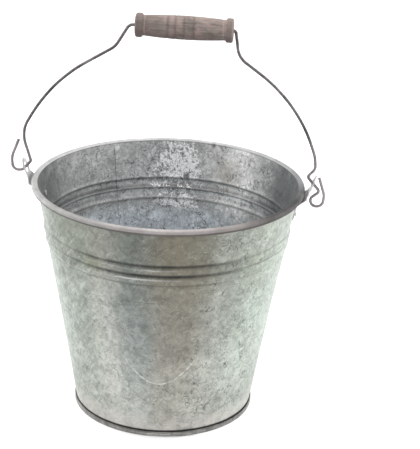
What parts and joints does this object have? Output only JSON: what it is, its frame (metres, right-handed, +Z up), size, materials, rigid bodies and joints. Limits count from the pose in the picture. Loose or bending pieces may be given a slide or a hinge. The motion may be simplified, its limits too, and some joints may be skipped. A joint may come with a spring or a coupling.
{
  "type": "florist bucket",
  "caption": "Tapered galvanised sheet-metal florist bucket with a rolled rim, two pressed beads, foot hoop, riveted ears and a swinging wire bail with a turned wooden grip.",
  "frame": {"origin": "centre of the circle that the foot hoop stands on, at ground level", "axes": "+Z up along the bucket axis; +X through the right-hand ear, so the bail swings about a line along X; +Y to the back"},
  "size_m": [0.3085, 0.266, 0.3981],
  "materials": {
    "galvanised_sheet": "weathered hot-dip galvanised, mottled greenish grey",
    "galvanised_hoop": "galvanised strip, dull",
    "ear_plate": "galvanised plate, pale",
    "rivet": "galvanised rivet",
    "steel_wire": "plain steel wire",
    "bail_steel": "dull galvanised wire",
    "grip_wood": "weathered grey-brown turned wood"
  },
  "bodies": {
    "bucket": {"body_wall": "galvanised_sheet", "rim_wire": "steel_wire", "base_disc": "galvanised_sheet", "foot_hoop": "galvanised_hoop", "left_ear": "ear_plate", "right_ear": "ear_plate", "left_ear_rivets": "rivet", "right_ear_rivets": "rivet"},
    "bail": {"bail_wire": "bail_steel"},
    "grip": {"grip": "grip_wood"}
  },
  "joints": [
    {"name": "bail_swing", "type": "hinge", "parent": "bucket", "child": "bail", "pos_m": [0, 0, 0.2383], "axis": [1, 0, 0], "range_deg": [-110, 110]},
    {"name": "grip_spin", "type": "hinge", "parent": "bail", "child": "grip", "pos_m": [0.0112, 0, 0.386], "axis": [1, 0, -0.0087], "continuous": true}
  ]
}
